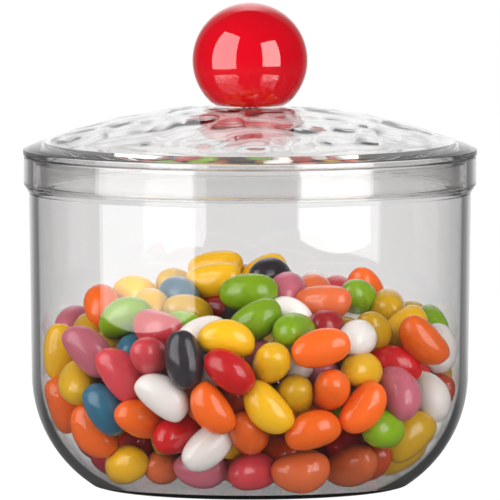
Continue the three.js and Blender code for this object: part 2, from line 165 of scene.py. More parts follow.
# Factors of the scattered numbers, the steps from level to level and from ring to ring in a hidden
# bean's count, and which draw gives a bean's turn, lift, colour, roll, size and shade
FIRST_FACTOR, SECOND_FACTOR, SCATTER_FACTOR = 12.9898, 78.233, 43758.5453
LEVEL_COUNT, RING_COUNT = 1000, 100
TURN_DRAW, LIFT_DRAW, COLOUR_DRAW, ROLL_DRAW, SIZE_DRAW, SHADE_DRAW = 1, 2, 5, 6, 7, 8

# The backdrop in reflections: the least share of a ray's way that counts as ahead, how bright its
# sides are, and how soft its upper edge is
LEAST_AHEAD = 0.001
SIDE_SHARE = 0.2
TOP_BLUR = 0.05

# Shell colours, and how many in a hundred of the hidden beans have each
BEAN_COLOURS = {
    "yellow": ((0.92, 0.5, 0.002), 14),
    "ochre": ((0.62, 0.35, 0.002), 5),
    "orange": ((0.9, 0.13, 0.001), 17),
    "salmon": ((0.74, 0.14, 0.035), 7),
    "rust": ((0.55, 0.05, 0.001), 4),
    "red": ((0.55, 0.001, 0.004), 11),
    "maroon": ((0.3, 0.002, 0.006), 6),
    "rose": ((0.6, 0.045, 0.06), 5),
    "pink": ((0.55, 0.13, 0.18), 6),
    "green": ((0.22, 0.4, 0.001), 10),
    "teal": ((0.02, 0.12, 0.2), 4),
    "white": ((0.92, 0.86, 0.82), 9),
    "black": ((0.02, 0.016, 0.022), 2),
}

# Beans that show in the photograph: column and row of the middle, length in pixels, tilt in
# degrees, how many beans deep it lies behind the first that shows, and colour
SHOWN_BEANS = (
    (102, 306, 48, 98, 0, "orange"), (135, 296, 50, -10, 1, "yellow"),
    (153, 308, 36, 0, 0, "yellow"), (127, 318, 54, 30, 0, "green"),
    (131, 334, 36, 0, 1, "green"), (180, 297, 46, -15, 0, "teal"),
    (188, 315, 50, -10, 0, "ochre"), (180, 328, 45, 0, 0, "green"),
    (203, 336, 50, 20, 0, "white"), (160, 330, 48, -20, 0, "rose"),
    (70, 328, 44, 0, 1, "pink"), (93, 332, 38, 0, 1, "ochre"),
    (57, 352, 56, 80, 0, "yellow"), (90, 350, 58, -40, 0, "pink"),
    (117, 343, 46, 0, 1, "yellow"), (135, 352, 42, 45, 1, "teal"),
    (152, 354, 42, -30, 0, "rose"), (64, 364, 46, 60, 1, "red"),
    (184, 358, 56, -78, -0.2, "black"), (124, 373, 58, -60, 0, "rose"),
    (81, 384, 44, 80, 0, "ochre"), (163, 394, 56, -35, -0.1, "white"),
    (142, 415, 52, -20, 0, "orange"), (106, 409, 58, -55, -0.3, "teal"),
    (95, 428, 60, -50, 0, "orange"), (59, 409, 60, -70, 0, "orange"),
    (88, 456, 50, -30, 1, "maroon"), (135, 448, 50, 20, 0, "red"),
    (181, 433, 52, 15, 0, "red"), (126, 470, 48, 10, 0, "yellow"),
    (161, 470, 44, 45, 0, "salmon"), (217, 270, 54, 10, 0.5, "yellow"),
    (213, 283, 56, 15, 0, "yellow"), (262, 276, 50, 20, 0.5, "yellow"),
    (270, 278, 40, 0, 0, "black"), (250, 295, 58, 0, 0, "green"),
    (286, 293, 38, 90, 0, "pink"), (217, 312, 50, 10, 1, "maroon"),
    (212, 304, 46, 30, 1, "ochre"), (246, 314, 44, 30, 1, "black"),
    (256, 322, 56, 40, 0, "green"), (290, 317, 46, -20, 0, "white"),
    (293, 331, 42, 0, 0, "green"), (278, 344, 40, 0, 1, "ochre"),
    (226, 339, 58, -5, 0, "yellow"), (271, 362, 48, 68, -0.1, "yellow"),
    (229, 369, 60, -40, -0.2, "red"), (254, 352, 40, 20, 1, "pink"),
    (295, 364, 38, 60, 0.6, "white"), (320, 305, 54, 10, 0, "salmon"),
    (311, 295, 42, 0, 1, "salmon"), (322, 327, 40, 20, 0, "maroon"),
    (318, 346, 60, 10, -0.1, "orange"), (316, 374, 42, 0, 1, "pink"),
    (294, 393, 44, -80, 0, "ochre"), (268, 406, 60, -48, -0.1, "yellow"),
    (211, 408, 60, -58, -0.2, "orange"), (240, 402, 50, 60, 1, "rust"),
    (247, 430, 46, -80, 0, "orange"), (277, 449, 50, -20, 0.2, "rust"),
    (209, 454, 54, 30, -0.3, "white"), (202, 479, 54, -5, 0, "pink"),
    (249, 474, 50, -20, 0, "rose"), (301, 475, 58, 3, 0, "salmon"),
    (312, 429, 58, 10, -0.2, "orange"), (329, 389, 48, 65, -0.1, "orange"),
    (333, 458, 50, -15, 1, "maroon"), (344, 327, 46, 0, 1, "white"),
    (363, 290, 48, -30, 0.5, "orange"), (340, 296, 42, 0, 1, "rose"),
    (359, 300, 46, -50, 0, "green"), (386, 308, 40, -60, 0, "ochre"),
    (399, 305, 48, -35, 1, "teal"), (417, 319, 50, -5, 1, "ochre"),
    (400, 331, 52, 30, 0, "yellow"), (436, 326, 44, -30, 1, "green"),
    (424, 342, 60, -45, -0.2, "orange"), (449, 347, 50, -85, 0.4, "white"),
    (371, 333, 46, -70, 0, "ochre"), (345, 336, 44, 20, 1, "ochre"),
    (354, 339, 40, 0, 0, "white"), (391, 346, 50, 15, 1, "green"),
    (391, 363, 58, -15, 0, "red"), (345, 363, 44, 30, 1, "maroon"),
    (359, 369, 40, 0, 0, "yellow"), (397, 392, 50, -60, 0, "pink"),
    (364, 406, 60, 48, -0.2, "orange"), (428, 395, 54, -55, 0, "white"),
    (434, 374, 48, -10, 1, "ochre"), (449, 396, 44, 80, 0, "rust"),
    (382, 427, 40, 30, -0.1, "green"), (402, 432, 62, 50, 0, "ochre"),
    (430, 430, 46, -75, 0, "white"), (437, 427, 40, -70, 1, "green"),
    (347, 440, 52, 45, 0.1, "red"), (366, 459, 50, 40, 0, "rust"),
    (402, 458, 54, 20, 0, "ochre"), (355, 472, 52, -5, 0, "salmon"),
    (100, 385, 50, 70, 1, "maroon"), (110, 460, 46, 0, 1, "maroon"),
)


def length(name, description, default):
    return FloatProperty(name=name, description=description, default=default, unit="LENGTH", precision=5)


def number(name, description, default):
    return FloatProperty(name=name, description=description, default=default)


def angle(name, description, degrees):
    return FloatProperty(name=name, description=description, default=math.radians(degrees), subtype="ANGLE")


def colour(name, description, default):
    return FloatVectorProperty(name=name, description=description, default=default, subtype="COLOR",
                               size=3, min=0, max=1)


class JarSettings(bpy.types.PropertyGroup):
    """Sizes and colour of the jar."""

    wall: length("Wall", "Thickness of the wall", 0.0026)
    floor: length("Floor", "Thickness of the floor", 0.0026)
    draft: length("Draft", "How much the wall leans out to its top", 0.0008)
    base_radius: length("Base radius", "Flat foot that the jar stands on", 0.0474)
    corner_height: length("Corner height", "Height of the round lower corner", 0.0345)
    shoulder_step: length("Shoulder step", "How far the collar stands out", 0.0016)
    shoulder_height: length("Shoulder height", "Height of the slope under the collar", 0.0026)
    collar_height: length("Collar height", "Straight part of the collar", 0.0087)
    collar_wall: length("Collar wall", "Thickness of the collar", 0.0028)
    rim_rounding: length("Rim rounding", "Rounding of the rim's edges", 0.0006)
    tint: colour("Tint", "Colour of the jar's clear plastic", (0.95, 0.946, 0.943))


class LidSettings(bpy.types.PropertyGroup):
    """Sizes and colours of the lid and its seal."""

    fit: length("Fit", "Gap between two pieces that meet", 0.0003)
    flange: length("Flange", "Thickness of the flange", 0.0016)
    rise: length("Rise", "Height of the dome over its flange", 0.0134)
    thickness: length("Thickness", "Thickness of the dome", 0.0022)
    smooth_ring: length("Smooth ring", "Width of the plain ring at the edge", 0.008)
    skirt_wall: length("Skirt wall", "Thickness of the skirt", 0.0018)
    band_height: length("Band height", "Height of the skirt's upper band", 0.0022)
    bead_height: length("Bead height", "Height of the bead under the seal", 0.0009)
    seal_thickness: length("Seal thickness", "Width of the seal's section", 0.0016)
    seal_groove: length("Seal groove", "Depth of the groove between the lips", 0.0007)
    upper_lip: length("Upper lip", "Height of the seal's upper lip", 0.0015)
    lower_lip: length("Lower lip", "Height of the seal's lower lip", 0.0023)
    ripple_height: length("Ripple height", "Half height of the pressed waves", 0.00013)
    ripple_length: length("Ripple length", "Length of the pressed waves", 0.02)
    ripple_fade: length("Ripple fade", "Width over which the waves run out", 0.004)
    insert_wall: length("Insert wall", "Thickness of the bush over the screw's hole", 0.0011)
    edge_rounding: length("Edge rounding", "Rounding of the flange's upper edge", 0.0004)
    edge_room: length("Edge room", "From the dome's last point to the flange's edge", 0.0006)
    tint: colour("Tint", "Colour of the lid's clear plastic", (0.968, 0.964, 0.962))
    seal_colour: colour("Seal colour", "Colour of the seal", (0.36, 0.35, 0.34))


class KnobSettings(bpy.types.PropertyGroup):
    """Sizes and colour of the knob."""

    foot_rounding: length("Foot rounding", "Rounding of the edge of the flat foot", 0.0009)
    bore_room: length("Bore room", "Room in the knob over the bush", 0.001)
    colour: colour("Colour", "Colour of the knob", (0.84, 0.002, 0.014))


class BeanSettings(bpy.types.PropertyGroup):
    """Sizes of the beans and of their heap."""

    length: length("Length", "Length of a bean", 0.017)
    width: length("Width", "Width of a bean", 0.011)
    bend: length("Bend", "How far a bean's ends curl down", 0.0014)
    heap_height: length("Heap height", "Height of the heap at the middle", 0.0705)
    heap_wall_height: length("Heap height at the wall", "Height of the heap at the wall", 0.047)
    rounds: IntProperty(name="Rounds", description="Rounds in which the beans push apart", default=120)


class StageSettings(bpy.types.PropertyGroup):
    """Camera and light."""

    tilt: angle("Tilt", "How far the camera looks down", 4.4)
    distance: length("Distance", "From the camera to the jar's axis", 3.4)
    left_power: number("Left lamp", "Power of the left lamp", 2.8)
    right_power: number("Right lamp", "Power of the right lamp", 3.5)
    floor_size: length("Floor size", "Side of the floor", 12.0)
    floor_drop: length("Floor drop", "How far the floor lies under the jar", 0.0005)
    floor_colour: colour("Floor colour", "Colour of the floor", (0.86, 0.86, 0.86))
    world_colour: colour("World colour", "Light from all round", (0.3, 0.3, 0.3))
    white_limit: angle("White limit", "Half width of the backdrop's white middle", 5)
    side_limit: angle("Side limit", "Half width of the backdrop in reflections", 27)
    top_limit: angle("Top limit", "Height of the backdrop in reflections", 58)
    reflections: IntProperty(name="Reflections", description="How often light may be reflected", default=12)
    direct_share: number("Direct share", "How much brighter the backdrop is as the camera sees it", 0.08)
    front_share: number("Front share", "How bright the front looks in reflections", 0.03)


def new_object(name, bm, material, body, nodes=()):
    """Puts a finished mesh in the scene on the body it rides on, and hides the parts that it stands for."""
    mesh = bpy.data.meshes.new(name)
    bm.to_mesh(mesh)
    bm.free()
    for polygon in mesh.polygons:
        polygon.use_smooth = True
    mesh.materials.append(material)
    piece = bpy.data.objects.new(name, mesh)
    bpy.context.scene.collection.objects.link(piece)
    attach(piece, body)
    if nodes:
        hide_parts(*nodes)
    return piece


def arc(centre, radius, start, end, steps):
    """Points of an arc round (radius, height), both ends included."""
    return [(centre[0] + radius * math.cos(start + (end - start) * i / steps),
             centre[1] + radius * math.sin(start + (end - start) * i / steps))
            for i in range(steps + 1)]


def held(outline, closed):
    """The outline with a point beside each corner, so that smooth shading keeps its long parts straight."""
    points = [Vector(point) for point in outline]
    last = len(points) - 1
    held_points = []
    for index, point in enumerate(points):
        held_points.append(point)
        if index == last and not closed:
            break
        following = points[(index + 1) % len(points)]
        along = following - point
        for corner, beyond in ((index, index - 1), (index + 1, index + 2)):
            is_inside = closed or 0 <= beyond <= last
            if not is_inside or along.length < HOLD_LENGTH * HOLD_DISTANCE:
                continue
            near = points[corner % len(points)]
            side = near - points[beyond % len(points)]
            is_short = side.length < HOLD_SHARE * along.length
            if is_short or abs(math.sin(side.angle(along))) > HOLD_SINE:
                way = 1 if corner == index else -1
                held_points.append(near + along * (HOLD_DISTANCE / along.length) * way)
    return held_points


def turned(outline, sides, closed=False):
    """A shape made by turning an outline of (radius, height) points about the jar's axis."""
    bm = bmesh.new()
    points = [bm.verts.new((radius, 0, height)) for radius, height in held(outline, closed)]
    edges = [bm.edges.new(pair) for pair in zip(points, points[1:])]
    if closed:
        edges.append(bm.edges.new((points[-1], points[0])))
    bmesh.ops.spin(bm, geom=points + edges, cent=(0, 0, 0), axis=(0, 0, 1), angle=FULL_TURN,
                   steps=sides, use_merge=True)
    bmesh.ops.remove_doubles(bm, verts=bm.verts, dist=MERGE_DISTANCE)
    bmesh.ops.recalc_face_normals(bm, faces=bm.faces)
    return bm


def maths(tree, operation, first, second):
    """The sum, product or other result of two values or sockets."""
    node = tree.nodes.new("ShaderNodeMath")
    node.operation = operation
    for value, socket in zip((first, second), node.inputs):
        if isinstance(value, bpy.types.NodeSocket):
            tree.links.new(value, socket)
        else:
            socket.default_value = value
    return node.outputs["Value"]


def mapped(tree, value, **limits):
    """A value taken from one range to another."""
    node = tree.nodes.new("ShaderNodeMapRange")
    for name, number in limits.items():
        node.inputs[name.replace("_", " ")].default_value = number
    tree.links.new(value, node.inputs["Value"])
    return node.outputs["Result"]


def blend(tree, factor, first, second, output):
    """Shows the first shader, and the second where the factor says so."""
    mix = tree.nodes.new("ShaderNodeMixShader")
    for source, socket in zip((factor, first.outputs[0], second.outputs[0]), mix.inputs):
        tree.links.new(source, socket)
    tree.links.new(mix.outputs["Shader"], output.inputs["Surface"])


class Nodes:
    """A new material and the few node steps that the finishes share."""

    def __init__(self, name):
        self.material = bpy.data.materials.new(name)
        self.material.use_nodes = True
        self.tree = self.material.node_tree
        self.shader = self.tree.nodes["Principled BSDF"]
        self.output = self.tree.nodes["Material Output"]
        self.place = self.add("ShaderNodeTexCoord").outputs["Object"]

    def add(self, kind, **values):
        node = self.tree.nodes.new(kind)
        for key, value in values.items():
            if key in node.inputs:
                node.inputs[key].default_value = value
            else:
                setattr(node, key, value)
        return node

    def link(self, source, target):
        self.tree.links.new(source, target)

    def set(self, **values):
        for key, value in values.items():
            self.shader.inputs[key.replace("_", " ")].default_value = value

    def noise(self, scale, detail=2.0):
        node = self.add("ShaderNodeTexNoise", Scale=scale, Detail=detail)
        self.link(self.place, node.inputs["Vector"])
        return node.outputs["Fac"]

    def mixed(self, factor, first, second):
        node = self.add("ShaderNodeMix", data_type="RGBA")
        self.link(factor, node.inputs["Factor"])
        for value, socket in ((first, node.inputs["A"]), (second, node.inputs["B"])):
            if isinstance(value, bpy.types.NodeSocket):
                self.link(value, socket)
            else:
                socket.default_value = (*value, 1)
        return node.outputs["Result"]

    def colour(self, value):
        self.link(value, self.shader.inputs["Base Color"])

    def rough(self, value, low, high):
        self.link(mapped(self.tree, value, To_Min=low, To_Max=high), self.shader.inputs["Roughness"])

    def bumped(self, height, strength, distance):
        node = self.add("ShaderNodeBump", Strength=strength, Distance=distance)
        self.link(height, node.inputs["Height"])
        self.link(node.outputs["Normal"], self.shader.inputs["Normal"])


def darker(paint, share):
    return [share * part for part in paint]


def clear_plastic(name, tint):
    """Clear plastic that lets the lamps through."""
    nodes = Nodes(name)
    nodes.set(Transmission_Weight=1.0, IOR=1.57)
    nodes.colour(nodes.mixed(nodes.noise(scale=60.0), tint, darker(tint, share=0.995)))
    nodes.rough(nodes.noise(scale=400.0), low=0.0, high=0.02)
    path = nodes.add("ShaderNodeLightPath")
    open_way = nodes.add("ShaderNodeBsdfTransparent", Color=(0.96, 0.96, 0.96, 1))
    blend(nodes.tree, path.outputs["Is Shadow Ray"], nodes.shader, open_way, nodes.output)
    return nodes.material


def gloss_red(name, paint):
    """Deep glossy moulded plastic."""
    nodes = Nodes(name)
    nodes.set(IOR=1.55, Coat_Weight=1.0, Coat_Roughness=0.02, Coat_IOR=1.72)
    nodes.colour(nodes.mixed(nodes.noise(scale=90.0, detail=4.0), paint, darker(paint, share=0.86)))
    nodes.rough(nodes.noise(scale=220.0), low=0.04, high=0.09)
    nodes.bumped(nodes.noise(scale=140.0, detail=1.0), strength=0.04, distance=0.0003)
    return nodes.material


def turned_metal(name, paint, roughness, spread=0.15):
    """Bright metal, here and there a little duller."""
    nodes = Nodes(name)
    nodes.set(Metallic=1.0)
    nodes.colour(nodes.mixed(nodes.noise(scale=300.0), paint, darker(paint, share=0.8)))
    nodes.rough(nodes.noise(scale=900.0), low=roughness, high=roughness + spread)
    return nodes.material


def soft_seal(name, paint):
    """Nearly clear soft plastic."""
    nodes = Nodes(name)
    nodes.set(IOR=1.41, Alpha=0.22)
    nodes.colour(nodes.mixed(nodes.noise(scale=150.0), paint, darker(paint, share=0.9)))
    nodes.rough(nodes.noise(scale=500.0), low=0.15, high=0.25)
    return nodes.material


def bean_shell(name, paint):
    """Polished sugar shell, each bean a little lighter or darker, with faint mottling."""
    nodes = Nodes(name)
    nodes.set(IOR=1.36, Coat_Weight=1.0, Coat_Roughness=0.025, Coat_IOR=1.62)
    shade = nodes.add("ShaderNodeAttribute", attribute_name="shade").outputs["Fac"]
    lighter = [min(1, 1.08 * part) for part in paint]
    pale = [min(1, 0.95 * part + 0.02) for part in paint]
    plain = nodes.mixed(shade, darker(paint, share=0.78), lighter)
    speck = mapped(nodes.tree, nodes.noise(scale=700.0, detail=3.0), To_Min=-1.1, To_Max=0.9)
    clamp = nodes.add("ShaderNodeClamp")
    nodes.link(speck, clamp.inputs["Value"])
    nodes.colour(nodes.mixed(clamp.outputs["Result"], plain, pale))
    nodes.rough(nodes.noise(scale=350.0), low=0.3, high=0.42)
    nodes.bumped(nodes.noise(scale=220.0, detail=1.0), strength=0.1, distance=0.0005)
    return nodes.material


class Jar:
    """Radii and heights of the inside and outside of the jar."""

    def __init__(self, settings):
        self.collar = JAR_HIGH.x
        self.rim = JAR_HIGH.z
        self.top = self.collar - settings.shoulder_step
        self.body = self.top - settings.draft
        run = self.body - settings.base_radius
        self.corner = (run ** 2 + settings.corner_height ** 2) / (2 * run)
        self.centre = (self.body - self.corner, settings.corner_height)
        self.collar_foot = self.rim - settings.collar_height
        self.shoulder_foot = self.collar_foot - settings.shoulder_height
        self.bore = self.collar - settings.collar_wall


class CANDYJAR_OT_jar(bpy.types.Operator):
    """Make the clear jar"""

    bl_idname = "candyjar.jar"
    bl_label = "Jar"

    def execute(self, context):
        settings = context.scene.candy_jar
        jar = Jar(settings)
        rounding = settings.rim_rounding
        outer_start = -math.atan2(settings.corner_height, settings.base_radius - jar.centre[0])
        foot_rounding = FOOT_SHARE * settings.floor
        inner_corner = jar.corner - settings.wall
        inner_end = -math.asin((settings.corner_height - settings.floor) / inner_corner)
        outline = [(0, 0), (settings.base_radius - foot_rounding, 0)]
        outline += arc(jar.centre, jar.corner, outer_start + CORNER_START, 0, CORNER_STEPS)
        outline += [(jar.top, jar.shoulder_foot), (jar.collar, jar.collar_foot)]
        for centre, start in ((jar.collar - rounding, 0), (jar.bore + rounding, QUARTER_TURN)):
            outline += arc((centre, jar.rim - rounding), rounding, start, start + QUARTER_TURN, RIM_STEPS)
        outline += [(jar.bore, jar.collar_foot), (jar.top - settings.wall, jar.shoulder_foot)]
        outline += arc(jar.centre, inner_corner, 0, inner_end, CORNER_STEPS)
        outline += [(0, settings.floor)]
        new_object("clear_jar_shell", turned(outline, CLEAR_SIDES),
                   clear_plastic("clear_jar", settings.tint), "jar", ["jar_body"])
        return {"FINISHED"}


def smooth_step(value, width):
    """A smooth rise from 0 to 1 over a width."""
    share = min(max(value / width, 0.0), 1.0)
    return share * share * (3 - 2 * share)


def ripple(x, y, settings, inner, outer):
    """Height of the pressed waves at a place on the lid."""
    radius = math.hypot(x, y)
    fade = (smooth_step(outer - radius, settings.ripple_fade)
            * smooth_step(radius - inner, settings.ripple_fade))
    turn = FULL_TURN / settings.ripple_length
    bend = sum(math.sin(turn * share * (x + slope * y)) for share, slope in BENDS)
    waves = sum(math.sin(turn * (along * x + across * y) + pull * bend) for along, across, pull in WAVES)
    return settings.ripple_height * fade * waves


def pad_radius(foot_rounding):
    """Radius of the flat round place that the knob's foot stands on."""
    radius = KNOB_HIGH.x
    centre = KNOB_HIGH.z - radius
    foot = centre - KNOB_LOW.z
    return math.sqrt(radius ** 2 - foot ** 2) + foot_rounding


class CANDYJAR_OT_lid(bpy.types.Operator):
    """Make the clear lid with its pressed ripple"""

    bl_idname = "candyjar.lid"
    bl_label = "Lid"

    def execute(self, context):
        settings = context.scene.candy_lid
        jar = Jar(context.scene.candy_jar)
        fit = settings.fit
        flange = LID_HIGH.x
        flange_foot = jar.rim + fit
        flange_top = flange_foot + settings.flange
        crown = flange_top + settings.rise
        dome = (flange ** 2 + settings.rise ** 2) / (2 * settings.rise)
        pad = pad_radius(context.scene.candy_knob.foot_rounding)
        hole = INSERT_HIGH.x - settings.insert_wall
        seal = SEAL_HIGH.x
        skirt = seal - settings.seal_thickness - fit
        bore = skirt - settings.skirt_wall
        band_foot = flange_foot - settings.band_height
        foot = LID_LOW.z

        def top(radius):
            return crown - dome + math.sqrt(dome ** 2 - radius ** 2)

        def under(radius):
            height = crown - dome + math.sqrt((dome - settings.thickness) ** 2 - radius ** 2)
            return min(height, top(pad) - settings.thickness)

        def stretch(start, end, steps, height, indices):
            radii = [start + (end - start) * i / steps for i in indices]
            return [(radius, height(radius)) for radius in radii]

        rippled = flange - settings.smooth_ring
        rounding = settings.edge_rounding
        outline = [(hole, top(pad)), (pad, top(pad))]
        outline += stretch(pad, rippled, RIPPLE_STEPS, top, range(1, RIPPLE_STEPS + 1))
        outline += stretch(rippled, flange - settings.edge_room, RING_STEPS, top, range(1, RING_STEPS))
        outline += arc((flange - rounding, flange_top - rounding), rounding, QUARTER_TURN, 0, EDGE_STEPS)
        outline += [(flange, flange_foot), (seal - fit, flange_foot), (seal - fit, band_foot),
                    (skirt, band_foot), (skirt, foot + settings.bead_height),
                    (skirt + settings.bead_height, foot + settings.bead_height),
                    (skirt + settings.bead_height, foot), (bore, foot)]
        outline += stretch(bore, hole, UNDERSIDE_STEPS, under, range(UNDERSIDE_STEPS + 1))
        bm = turned(outline, CLEAR_SIDES, closed=True)
        for vert in bm.verts:
            radius = math.hypot(vert.co.x, vert.co.y)
            if pad < radius < rippled and vert.co.z > top(radius) - settings.thickness / 2:
                vert.co.z += ripple(vert.co.x, vert.co.y, settings, pad, rippled)
        new_object("clear_lid_dome", bm, clear_plastic("clear_lid", settings.tint), "closure",
                   ["lid"])
        return {"FINISHED"}


class CANDYJAR_OT_seal(bpy.types.Operator):
    """Make the soft seal with its two lips"""

    bl_idname = "candyjar.seal"
    bl_label = "Seal"

    def execute(self, context):
        settings = context.scene.candy_lid
        radius = SEAL_HIGH.x
        low, high = SEAL_LOW.z, SEAL_HIGH.z
        bore = radius - settings.seal_thickness
        groove = radius - settings.seal_groove
        lower = settings.lower_lip / 2
        upper = settings.upper_lip / 2
        outline = [(bore, low), (radius - lower, low)]
        outline += arc((radius - lower, low + lower), lower, -QUARTER_TURN,
                       QUARTER_TURN * LOWER_LIP_SHARE, LIP_STEPS)
        outline += [(groove, low + settings.lower_lip + settings.seal_groove),
                    (groove, high - settings.upper_lip - settings.seal_groove)]
        outline += arc((radius - upper, high - upper), upper, -QUARTER_TURN * UPPER_LIP_SHARE,
                       QUARTER_TURN, LIP_STEPS)
        outline += [(bore, high)]
        new_object("soft_seal_ring", turned(outline, SEAL_SIDES, closed=True),
                   soft_seal("soft_seal", settings.seal_colour), "seal", ["seal_ring"])
        return {"FINISHED"}


class CANDYJAR_OT_knob(bpy.types.Operator):
    """Make the red ball knob, and finish its bush, screw and washer"""

    bl_idname = "candyjar.knob"
    bl_label = "Knob"

    def execute(self, context):
        settings = context.scene.candy_knob
        radius = KNOB_HIGH.x
        centre = KNOB_HIGH.z - radius
        foot = KNOB_LOW.z
        depth = centre - foot
        rounding = settings.foot_rounding
        bore = INSERT_HIGH.x + context.scene.candy_lid.fit
        bore_top = INSERT_HIGH.z + settings.bore_room
        start = -math.asin((depth - rounding) / radius)
        flat = math.sqrt(radius ** 2 - depth ** 2) - rounding / 2
        sphere = arc((0, centre), radius, start, QUARTER_TURN, BALL_STEPS)
        outline = [(0, bore_top), (bore, bore_top), (bore, foot), (flat, foot)]
        outline += sphere[:-1] + [(0, centre + radius)]
        new_object("red_ball", turned(outline, KNOB_SIDES), gloss_red("red_knob", settings.colour),
                   "closure", ["knob"])
        metals = {
            "knob_insert": turned_metal("brass_insert", (0.72, 0.52, 0.2), roughness=0.25),
            "knob_screw": turned_metal("steel_screw", (0.7, 0.7, 0.72), roughness=0.22),
            "screw_washer": turned_metal("steel_washer", (0.72, 0.72, 0.74), roughness=0.25),
        }
        for node, metal in metals.items():
            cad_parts[node].data.materials.clear()
            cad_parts[node].data.materials.append(metal)
        return {"FINISHED"}


def scatter(first, second):
    """A number from 0 to 1 that looks random, and is the same each time for the same two counts."""
    value = math.sin(first * FIRST_FACTOR + second * SECOND_FACTOR) * SCATTER_FACTOR
    return value - math.floor(value)


